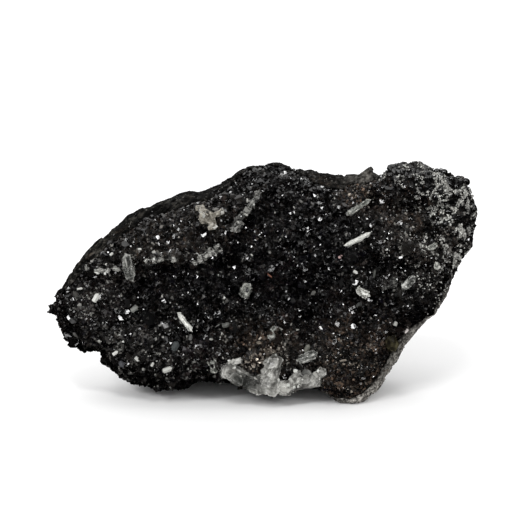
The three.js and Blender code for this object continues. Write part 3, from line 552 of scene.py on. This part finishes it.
# small ones that straggle over the bare rock beside the druse
STRAGGLERS = [
    ((-32, 44), (26, 3.2), 36, 0.12), ((10, 56), (7, 4), 0, 1), ((-5, 57), (9, 3), 15, 0.5),
    ((39, 15.5), (19, 3.6), 53, 0.35),
]
spots, ways = scatter(surface(host_rock), count=70000, seed=8, weight=lambda x, y: blend(x, y, STRAGGLERS))
reach = mixed_sizes(len(spots), middle=-1.6, spread=0.35, least=0.1, most=0.4)
lie = leaning(ways, spread=0.55)
sizes = uneven(reach, 0.65, 1.3)
grow("druse_stragglers", [octahedron, wedge], spots - ways * (0.5 * reach)[:, None], lie, sizes,
     druse_colours(spots), black_material)


# Round black globules
# Smooth balls of the same black mineral, 1 to 3 mm across, that crowd the lump at the upper right. They
# grew out of the crust there and against each other.
ball = bmesh.new()
bmesh.ops.create_icosphere(ball, subdivisions=2, radius=1)
globule = as_arrays(ball)

# the lump is parted into cells of this size in mm, with a globule in the middle of each
GLOBULE_CELL = 2.4
spots, ways = scatter(crust, count=24000, seed=31, weight=on_lump)
middles = {}
for i, point in enumerate(spots):
    distances, sites = noise.voronoi(Vector(point) / GLOBULE_CELL)
    key = tuple(sites[0])
    if key not in middles or distances[0] < middles[key][0]:
        middles[key] = (distances[0], i, distances[1])
# a cell whose middle lies more than half a cell off the surface stays empty
kept = [(i, second) for near, i, second in middles.values() if near < 0.5]
picked = np.array([i for i, _ in kept])
radius = np.clip([[0.52 * second * GLOBULE_CELL] for _, second in kept], 0.5, 1.5)
spots, ways = spots[picked], ways[picked]
spots = spots - ways * 0.15 * radius
grow("globules", [globule], spots, axes_to(ways, random.uniform(0, FULL_TURN, len(spots))),
     uneven(radius, 0.85, 1.1), np.tile(linear("080707"), (len(spots), 1)), black_material,
     smooth=True)


# Quartz
# Clear to milky crystals that grew last, on the druse and along the foot. The single crystals keep the
# shape of their solids. The ledge, the foot and the beige group are broken masses of many crystals.


def quartz_look(name, stops, clear, turn=0, long=1, veil=1.6):
    """Quartz with milky veils of one size in mm, drawn out along the crystal where long is over 1. The
    veils run from the first stop's colour to the last's, and clear is the share of light let through."""
    material, shader = new_material(name)
    place = add(material, "TexCoord").outputs["Object"]
    size = MM * veil
    drawn = add(material, "Mapping", {"vector_type": "TEXTURE", "Rotation": (0, math.radians(-turn), 0),
                                      "Scale": (size * long, size / long, size / long)}, {"Vector": place})
    veils = add(material, "TexNoise", {"Scale": 1, "Detail": 5, "Roughness": 0.65},
                {"Vector": drawn.outputs["Vector"]}).outputs["Fac"]
    inside = add(material, "ValToRGB", {"stops": stops}, {"Fac": veils}).outputs["Color"]
    # edges and corners are lighter: partly bruised white, and partly a painted highlight along the edges
    bruise_and_edge_highlight = add(material, "NewGeometry").outputs["Pointiness"]
    bruise_and_edge_highlight = add(material, "MapRange", {"From Min": 0.51, "From Max": 0.58},
                {"Value": bruise_and_edge_highlight}).outputs["Result"]
    whole = add(material, "Mix", {**COLOURS, SECOND: (*linear(stops[2][1]), 1)},
                {SHARE: bruise_and_edge_highlight, FIRST: inside}).outputs[MIXED]
    # dark, smoky parts
    smoke = add(material, "Attribute", {"attribute_name": "smoke"}).outputs["Fac"]
    whole = add(material, "Mix", {**COLOURS, SECOND: (*linear("262826"), 1)},
                {SHARE: smoke, FIRST: whole}).outputs[MIXED]
    material.node_tree.links.new(whole, shader.inputs["Base Color"])
    add(material, "MapRange", {"To Min": 0.08, "To Max": 0.4}, {"Value": veils}, feeds="Roughness")
    lines = add(material, "TexNoise", {"Scale": 2400, "Detail": 3}, {"Vector": place}).outputs["Fac"]
    add(material, "Bump", {"Strength": 0.5, "Distance": 0.00015}, {"Height": lines}, feeds="Normal")
    shader.inputs["IOR"].default_value = 1.54
    shader.inputs["Transmission Weight"].default_value = clear
    return material


# rock crystal: mostly seen through, with a few white veils, and a little greyer where it stands upright
CLEAR = [(0.4, "3a3b39"), (0.53, "6d6e6a"), (0.66, "e2e2dc")]
CLEAR_GREY = [(0.4, "373836"), (0.53, "6a6b66"), (0.67, "dcdcd6")]
# milky quartz: grey and cloudy, seen into but not through
MILKY = [(0.38, "3d3f3b"), (0.52, "7c7e78"), (0.66, "dcdcd4")]
# white quartz: full of fine bubbles, so nearly opaque, or with clear grey parts between them
WHITE = [(0.36, "777874"), (0.5, "b4b5af"), (0.62, "f0f0ea")]
WHITE_AND_CLEAR = [(0.42, "4a4a46"), (0.5, "97978f"), (0.6, "f0f0ea")]
# massive quartz: white and grey in patches, where its crystals grew into each other
MASSIVE = [(0.36, "504f4c"), (0.5, "92918c"), (0.64, "e6e5df")]
# stained quartz: milky, with brown from the rock
STAINED = [(0.38, "46423b"), (0.5, "7d786e"), (0.64, "bfbaae")]
# smoky quartz: grey and clear, and dark over the black druse
SMOKY = [(0.38, "1f1f1e"), (0.53, "454543"), (0.68, "a3a29c")]
milky_quartz = quartz_look("milky quartz", MILKY, clear=0.35)
ledge_quartz = quartz_look("ledge quartz", SMOKY, clear=0.2)
massive_quartz = quartz_look("massive quartz", MASSIVE, clear=0.3, veil=3)
LOOKS = {
    "blade": quartz_look("rock crystal, upright", CLEAR_GREY, clear=0.55, turn=101, long=2.4),
    "prism": quartz_look("rock crystal, lying", CLEAR, clear=0.4, turn=20, long=1.8),
    "leaf": quartz_look("rock crystal, leaning right", CLEAR, clear=0.4, turn=42, long=1.8),
    "rod": quartz_look("white quartz, leaning left", WHITE, clear=0.2, turn=-52, long=1.5),
    "needle": quartz_look("white quartz, leaning right", WHITE, clear=0.2, turn=28, long=2.2),
    "twin": quartz_look("white quartz, drawn out", WHITE_AND_CLEAR, clear=0.3, turn=-25, long=2.6, veil=1.2),
    "splinter": quartz_look("milky quartz, drawn out", MILKY, clear=0.3, turn=33, long=2.2),
    "base": massive_quartz,
    "cluster": quartz_look("stained quartz", STAINED, clear=0.25),
    "streak": quartz_look("smoky quartz, drawn out", SMOKY, clear=0.3, turn=60, long=2),
    "leaf_left": quartz_look("smoky quartz", SMOKY, clear=0.5),
    "vein_left": ledge_quartz,
    "vein_middle": ledge_quartz,
    "vein_right": ledge_quartz,
}
MASSES = ["base", "vein_left", "vein_middle", "vein_right", "cluster", "streak"]


def broken(point, way):
    """Flat broken planes 4 mm across and small steps, as a depth in millimetres."""
    return max(0, 0.3 + 0.7 * facet(point, 4) + 0.25 * facet(point, 1.4))


def flaked(point, way):
    """Thin flakes about a millimetre across, as a depth in millimetres."""
    return min(0.8, max(0, 0.4 + 0.6 * facet(point, 1.3) + 0.3 * noise.noise(point / 0.6)))


def chipped(point, way):
    """Small chips out of the faces and edges of a single crystal, as a depth in millimetres."""
    return max(0, 0.12 + 0.3 * facet(point, 1.5) + 0.1 * noise.noise(point / 0.6))


# how far up the face the middle of the upright blade is
BLADE_MIDDLE = 34.5


def slim(point, way):
    """A chipped blade with both sides drawn in, most at its ends."""
    return chipped(point, way) + 0.4 * abs(way[0]) * min(1.6, abs(point.y - BLADE_MIDDLE) / 2)


def wear_of(part):
    """How the surface of one quartz piece is worn."""
    if part.startswith("vein"):
        return flaked
    if part in MASSES:
        return broken
    return slim if part == "blade" else chipped


# the hollow of the left arm of the foot, and a spot on its right arm
SMOKE_IN_BASE = [((-4.5, 6), (4, 3.2), -35, 0.85), ((10, 8.5), (2.4, 1.6), 0, 0.5)]
for name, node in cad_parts.items():
    if name.startswith("quartz"):
        part = name.removeprefix("quartz_")
        mesh, points = fine_copy(node, cell=0.2 if part in MASSES else 0.13, wear=wear_of(part))
        if part == "base":
            mark(mesh, "smoke", blend(points[:, 0], points[:, 1], SMOKE_IN_BASE))
        made = piece(name + "_crystal", mesh, LOOKS.get(part, milky_quartz))
        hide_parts(name)

# flat plates at the foot, grown between the arms of the mass there: a broad one, a round one, and a small
# smoky one above the right arm. Each is the outline of its front, and is this deep in mm.
PLATE_DEPTH = 4
BROAD = [(-3.7, 6.6, 5.8), (-1.4, 8.6, 6), (1.4, 9.4, 6.8), (1.8, 3.4, 6.6), (-1, 2.9, 5.6), (-3.3, 3.9, 5)]
ROUND = [(2.7 + 1.9 * math.cos(k), 4.6 + 1.9 * math.sin(k), 6.8) for k in range(6)]
SMALL = [(9, 8.6, 6.2), (10.4, 10, 6), (12.4, 9.3, 6), (12.6, 8, 6.4), (10.2, 7.6, 6.6)]
SMOKE_IN_PLATES = [((10.9, 8.9), (2, 1.4), 0, 0.8), ((-3, 6), (2, 2), 0, 0.45)]
corners, faces = [], []
for outline in (BROAD, ROUND, SMALL):
    both_sides = [(x, y, front - deep) for x, y, front in outline for deep in (0, PLATE_DEPTH)]
    shape, shape_faces = habit(both_sides)
    faces += (shape_faces + len(corners)).tolist()
    corners += shape.tolist()
mesh = bpy.data.meshes.new("plates")
mesh.from_pydata(in_part(np.array(corners)), [], faces)
solid_plates = bpy.data.objects.new("plates", mesh)
mesh, points = fine_copy(solid_plates, cell=0.23, wear=broken)
bpy.data.objects.remove(solid_plates)
mark(mesh, "smoke", blend(points[:, 0], points[:, 1], SMOKE_IN_PLATES))
piece("quartz_plates", mesh, massive_quartz)


# Quartz grains
# Small crystals and flakes of quartz strewn through the druse, thick along the ledge, at the foot and on
# the right flank, where they make a pale web between the black globules.

# frosted quartz: rough all over and a little clear, so it looks like coarse sugar
frosted_material, shader = new_material("frosted quartz")
add(frosted_material, "Attribute", {"attribute_name": "shade"}, feeds="Base Color")
place = add(frosted_material, "TexCoord").outputs["Object"]
frost = add(frosted_material, "TexNoise", {"Scale": 1800, "Detail": 2}, {"Vector": place}).outputs["Fac"]
add(frosted_material, "MapRange", {"To Min": 0.1, "To Max": 0.6}, {"Value": frost}, feeds="Roughness")
shader.inputs["IOR"].default_value = 1.54
shader.inputs["Transmission Weight"].default_value = 0.25

corner_turns = [k * math.pi / 3 for k in range(6)]
prism = habit([(0.42 * math.cos(t), 0.42 * math.sin(t), z) for t in corner_turns for z in (-0.7, 0.6)]
              + [(0, 0, 1.05)])
chip = habit([(0.9, 0.2, 0.1), (-0.7, 0.5, 0.3), (-0.5, -0.6, -0.2), (0.4, -0.7, 0.5), (0.2, 0.7, -0.4),
              (0.1, 0.1, 0.8), (-0.1, -0.2, -0.6)])

# where most of the grains lie
STREWN = [
    ((-25, 42), (20, 6), 22, 0.5), ((-27, 36.5), (17, 2.4), 8, 0.9), ((2, 57), (8, 3), 5, 0.3),
    ((-4, 29), (3.4, 3), 0, 0.6), ((2, 13), (13, 5), 0, 0.9), ((-9, 9), (7, 4), 0, 0.6),
    ((36, 43), (7, 6), 0, 0.4), ((49, 42), (5, 12), 0, 1.0), ((44, 37), (6, 7), 0, 0.6),
    ((33, 29), (8, 3.4), 0, 0.5), ((-30, 13), (13, 7), -20, 1.3), ((-42, 27), (7, 5), 0, 0.9),
    ((-20, 21), (14, 9), 0, 0.3), ((-12, 22), (5, 5), 0, 0.35), ((26, 10), (9, 8), 0, 0.9),
    ((22, 51), (6, 4), 30, 0.6), ((24.8, 54), (2.4, 3.6), 0, 1.3),
]
# white grains like sugar above the foot, which lie on top of the black crystals
SUGAR = [((0.8, 13.4), (4.8, 1.6), 35, 1), ((-3.4, 10.8), (2.2, 1), 15, 1)]
# the grains are finer at the lower right and beside the horn
FINER_GRAINS = [((25, 8), (14, 12), 0, 1), ((24.8, 54), (3, 4), 0, 1)]
GREYS = np.array([linear(c) for c in ("4c4a47", "6d6b67", "8b8a85", "b5b4ae", "dedfd9")])


def quartz_tones(count, shares):
    """A grey for each grain. The shares are of the five greys, from dark to white."""
    return GREYS[random.choice(len(GREYS), count, p=shares)]


def strewn(x, y):
    """How thick the grains lie at a place."""
    return (0.14 + blend(x, y, STREWN + SUGAR)) * (1 - 0.8 * np.clip(on_lump(x, y), 0, 1))


spots, ways = scatter(crust, count=18000, seed=41, weight=strewn)
sugar = blend(spots[:, 0], spots[:, 1], SUGAR)
# they lie in clumps
clumps = cloudy(spots, 3.2) + 0.7 * cloudy(spots, 1.1) + sugar + random.normal(0, 0.2, len(spots)) > 0.06
spots, ways, sugar = spots[clumps], ways[clumps], sugar[clumps]
x, y = spots[:, 0], spots[:, 1]
reach = mixed_sizes(len(spots), middle=-1.15, spread=0.42, least=0.12, most=1.1)
reach *= 1 - 0.45 * blend(x, y, FINER_GRAINS)
spots = spots + ways * (0.15 * reach + 0.45 * sugar)[:, None]
tones = quartz_tones(len(spots), [0.34, 0.3, 0.2, 0.11, 0.05])
# the larger ones are greyer, and the sugar is whiter
tones[reach > 0.6] *= 0.6
tones *= 1 + 0.9 * sugar[:, None]
# the brown stain takes a little green and more blue out of the grey
stained = np.clip(blend(spots[:, 0], spots[:, 1], BROWN), 0, 1)[:, None]
tones = tones * (1 - stained * (1 - np.array([1, 0.88, 0.78])))
lie = leaning(ways, spread=0.8)
grow("quartz_grains", [prism, chip], spots, lie, uneven(reach, 0.7, 1.3), tones, frosted_material)

# the web: grains a third of a millimetre across that fill the joints between the globules, in patches.
# The joints are wider on the flank, and at a few thick places on top of the lump; the largest of these, near
# the top, is partly a painted highlight.
FLANK = [((47, 43), (6.5, 11), 0, 1), ((36, 42), (6, 7), 0, 0.12)]
LUMP_TOP = [((42, 55), (10, 3), -14, 1)]
THICK_AND_HIGHLIGHT = [((41, 55.8), (4.5, 2), -25, 1), ((36, 58.8), (2.4, 1.2), -20, 1), ((47.5, 53), (3.5, 1), 0, 1)]
spots, ways = scatter(crust, count=110000, seed=43, weight=lambda x, y: blend(x, y, FLANK + LUMP_TOP))
x, y = spots[:, 0], spots[:, 1]
distances = np.array([noise.voronoi(Vector(point) / GLOBULE_CELL)[0][:2] for point in spots])
from_joint = distances[:, 1] - distances[:, 0]
# partly a painted highlight: the web is widest and whitest near the top of the lump
thick = blend(x, y, THICK_AND_HIGHLIGHT)
web = from_joint < 0.2 + 0.14 * blend(x, y, FLANK) + 0.06 * thick
web &= cloudy(spots, 3) + 0.4 * cloudy(spots, 0.9) > 0.08 - 0.25 * thick
spots, ways = spots[web], ways[web]
reach = random.uniform(0.14, 0.32, (len(spots), 1))
spots = spots + ways * 0.45
tones = quartz_tones(len(spots), [0.05, 0.1, 0.25, 0.4, 0.2])
tones = tones * np.exp(0.5 * cloudy(spots, 1.8))[:, None]
lie = leaning(ways, spread=0.8)
grow("quartz_web", [chip], spots, lie, uneven(reach, 0.7, 1.3), tones, frosted_material)


def along_ledge(x, y):
    """How near a place is to the bare line of the ledge, from 0 to 1."""
    return np.exp(-(((y - np.interp(x, LINE_X, LINE_Y)) / 0.55) ** 2)) * ((x > -43) & (x < -11))


def beside_ledge(x, y):
    """How thick the flakes lie on the crust: along the ledge, and round a hollow near the left tip."""
    rim = np.hypot((x + 39.5) / 4.8, (y - 24.4) / 2) - 1
    return 0.8 * along_ledge(x, y) + 0.5 * np.exp(-((rim / 0.13) ** 2))


# flakes that cover the ledge, bridge its gap beside the blade, and rim a hollow near the left tip. Those
# on the quartz are sunk by the depth that it is worn.
spots, ways = scatter(ledge, count=4200, seed=45, weight=lambda x, y: 0.45 + along_ledge(x, y))
on_crust, out = scatter(crust, count=30000, seed=49, weight=beside_ledge)
spots, ways = np.concatenate([spots - 0.45 * ways, on_crust + 0.1 * out]), np.concatenate([ways, out])
ragged = cloudy(spots, 1.2) > -0.1
spots, ways = spots[ragged], ways[ragged]
reach = random.uniform(0.12, 0.34, (len(spots), 1))
tones = quartz_tones(len(spots), [0.05, 0.15, 0.25, 0.35, 0.2])
# they are greyer on the streak near the top
tones[spots[:, 1] > 43] *= 0.45
# they lie along the ledge, which runs up to the right
lie = axes_to(random.normal((0.95, 0.25, 0.1), 0.35, ways.shape), random.uniform(0, FULL_TURN, len(spots)))
grow("quartz_flakes", [chip, prism], spots, lie, uneven(reach, (0.5, 0.5, 1), (1, 1, 2.2)), tones,
     frosted_material)

# shards that stand out of the broken masses: a few everywhere above the foot, and most of them in the
# white middle of the foot
WHITE_FOOT = [((7, 4.6), (2.2, 2.6), 0, 1)]
spots, ways = scatter(surface(*quartz_solids(*MASSES)), count=1500, seed=47,
                      weight=lambda x, y: 0.05 * (y > 6) + blend(x, y, WHITE_FOOT))
reach = mixed_sizes(len(spots), middle=-0.4, spread=0.4, least=0.25, most=1.5)
tones = quartz_tones(len(spots), [0.05, 0.1, 0.2, 0.3, 0.35])
lie = leaning(ways, spread=0.9)
grow("quartz_shards", [prism, chip], spots - ways * 0.4, lie, uneven(reach, 0.6, 1.2), tones,
     frosted_material)

# single splinters that stand out of the druse: place on the face, length and width in mm, turn and tone. The
# pale and pinkish ones are set where the light glints, so they are partly small crystals and partly painted
# glints; the grey ones and the orange needle are crystals.
SPLINTERS_AND_GLINTS = [
    ((-40.7, 27.2), (2.3, 1.5), 60, "e4e4de"), ((-44.9, 29.5), (1.6, 0.6), 10, "c4c4be"),
    ((-31.3, 24.6), (2, 1.5), 30, "83847f"), ((-29.9, 39.4), (0.9, 0.6), 0, "e4e4de"),
    ((-36.7, 37.8), (1, 0.7), 40, "d4d4ce"), ((-27, 11.2), (1.2, 0.7), 60, "d4d4ce"),
    ((-23.6, 9.4), (1.3, 0.7), 10, "b4b4ae"), ((43, 34.8), (1.3, 0.9), 20, "d8d8d0"),
    ((33, 21), (1.5, 1), 70, "b0b0aa"), ((35.5, 19.2), (1.3, 0.9), 45, "e4dcd8"),
    ((27.8, 32.3), (3, 0.6), 86, "5e5f5b"), ((22.6, 33.4), (1.2, 0.8), -30, "d8d8d2"),
    ((23.9, 24.8), (2, 1.5), 50, "4a4b49"), ((11.1, 14.9), (2.1, 1.3), 65, "77776f"),
    ((19, 37.3), (1.1, 0.8), 30, "c8aaa6"), ((1.8, 33.1), (1.7, 0.35), -40, "8a5a48"),
    ((-36.1, 13.3), (1.6, 0.9), 35, "dcdcd6"), ((-35, 11.3), (2.5, 1.5), -60, "515256"),
    ((-30.5, 12.3), (1.4, 1), -40, "cfcfc9"), ((-29, 9.8), (1, 0.7), 70, "aeaea8"),
    ((-23, 9.6), (2.4, 1.3), 20, "bfbfb9"), ((-12.4, 17), (0.9, 0.5), 0, "a8a8a2"),
    ((-46.3, 16.1), (2.2, 0.6), 25, "84847c"), ((-39.7, 17), (1.2, 0.7), 10, "989892"),
    ((-21.3, 15.3), (2.4, 1.8), 60, "4b4f4f"), ((-17.6, 17.7), (1.7, 1), 70, "696967"),
    ((-11.1, 19.6), (2.8, 0.35), 42, "9c9c98"), ((-8.8, 20.7), (1.8, 1.3), 15, "63645f"),
]
# the prism's own width and length
PRISM_WIDTH, PRISM_LENGTH = 0.84, 1.75
spots, ways = scatter(crust, count=60000, seed=51)
nearest = [np.argmin(np.hypot(spots[:, 0] - x, spots[:, 1] - y)) for (x, y), *_ in SPLINTERS_AND_GLINTS]
turn = np.radians([k for *_, k, _ in SPLINTERS_AND_GLINTS])
lie = axes_to(np.stack([np.cos(turn), np.sin(turn), np.full(len(turn), 0.3)], 1), turn)
sizes = np.array([(wide / PRISM_WIDTH, wide / PRISM_WIDTH, long / PRISM_LENGTH)
                  for _, (long, wide), *_ in SPLINTERS_AND_GLINTS])
grow("quartz_splinters_and_glints", [prism], spots[nearest] + ways[nearest] * 0.4, lie, sizes,
     np.array([linear(tone) for *_, tone in SPLINTERS_AND_GLINTS]), frosted_material)


# Olive crystal
# One brownish-green crystal that grew at the lower right edge, between the druse and the host rock. It
# keeps the flat faces of its solid.

# olive crystal as it grew: smooth and glossy, in clouds a millimetre or so across from nearly black to
# brownish green
olive_material, shader = new_material("olive crystal")
place = add(olive_material, "TexCoord").outputs["Object"]
clouds = add(olive_material, "TexNoise", {"Scale": 700, "Detail": 3}, {"Vector": place}).outputs["Fac"]
add(olive_material, "ValToRGB", {"stops": [(0.35, "0f0d09"), (0.5, "221f15"), (0.68, "484431")]},
    {"Fac": clouds}, feeds="Base Color")
shader.inputs["Roughness"].default_value = 0.2
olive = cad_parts["olive_crystal"]
olive.data.materials.clear()
olive.data.materials.append(olive_material)


# Studio
# A white table, a large soft light overhead and smaller ones in front that the crystals glint in. Neither
# the table nor the sky shows in the black faces, so those stay dark.
HALF_TABLE = 8
floor_mesh = bpy.data.meshes.new("floor")
floor_mesh.from_pydata([(-HALF_TABLE, -HALF_TABLE, 0), (HALF_TABLE, -HALF_TABLE, 0),
                        (HALF_TABLE, HALF_TABLE, 0), (-HALF_TABLE, HALF_TABLE, 0)], [], [(0, 1, 2, 3)])
floor = bpy.data.objects.new("floor", floor_mesh)
bpy.context.scene.collection.objects.link(floor)
# white card, uncoated: it has no gloss, and takes a soft shadow
floor_material, shader = new_material("white card")
shader.inputs["Base Color"].default_value = (0.9, 0.9, 0.9, 1)
shader.inputs["Roughness"].default_value = 0.9
shader.inputs["Specular IOR Level"].default_value = 0
floor_mesh.materials.append(floor_material)
floor.visible_glossy = False

world = bpy.data.worlds.new("studio")
bpy.context.scene.world = world
world.use_nodes = True
sky = world.node_tree.nodes["Background"]
sky.inputs["Color"].default_value = (1, 1, 1, 1)
sky.inputs["Strength"].default_value = 0.8
world.cycles_visibility.glossy = False

# the point that every lamp looks at
TARGET = Vector((0, 0, 0.03))


def lamp(name, azimuth, elevation, distance, width, height, radiance):
    """A soft light that looks at the specimen. Its power follows from its brightness and its area."""
    light = bpy.data.lights.new(name, "AREA")
    light.shape = "RECTANGLE"
    light.size, light.size_y = width, height
    light.energy = radiance * math.pi * width * height
    a, e = math.radians(azimuth), math.radians(elevation)
    made = bpy.data.objects.new(name, light)
    bpy.context.scene.collection.objects.link(made)
    out = Vector((math.sin(a) * math.cos(e), -math.cos(a) * math.cos(e), math.sin(e)))
    made.location = TARGET + out * distance
    made.rotation_euler = out.to_track_quat("Z", "Y").to_euler()


lamp("overhead", azimuth=180, elevation=55, distance=1.7, width=3.0, height=2.4, radiance=0.85)
lamp("left", azimuth=-48, elevation=38, distance=1.3, width=0.26, height=0.34, radiance=18)
lamp("right", azimuth=42, elevation=32, distance=1.3, width=0.2, height=0.3, radiance=14)
lamp("front", azimuth=-8, elevation=62, distance=1.2, width=0.28, height=0.18, radiance=16)

# the camera looks straight at the crystal face, from 368 mm in front of it
camera = bpy.data.cameras.new("camera")
camera.lens = 100
camera.sensor_width = 36
camera.clip_start = 0.01
eye = bpy.data.objects.new("camera", camera)
bpy.context.scene.collection.objects.link(eye)
eye.location = FACE @ Vector((0.75, 35.25, 368))
eye.rotation_euler = (math.pi / 2 - LEAN, 0, 0)
bpy.context.scene.camera = eye

bpy.context.scene.view_settings.view_transform = "Standard"
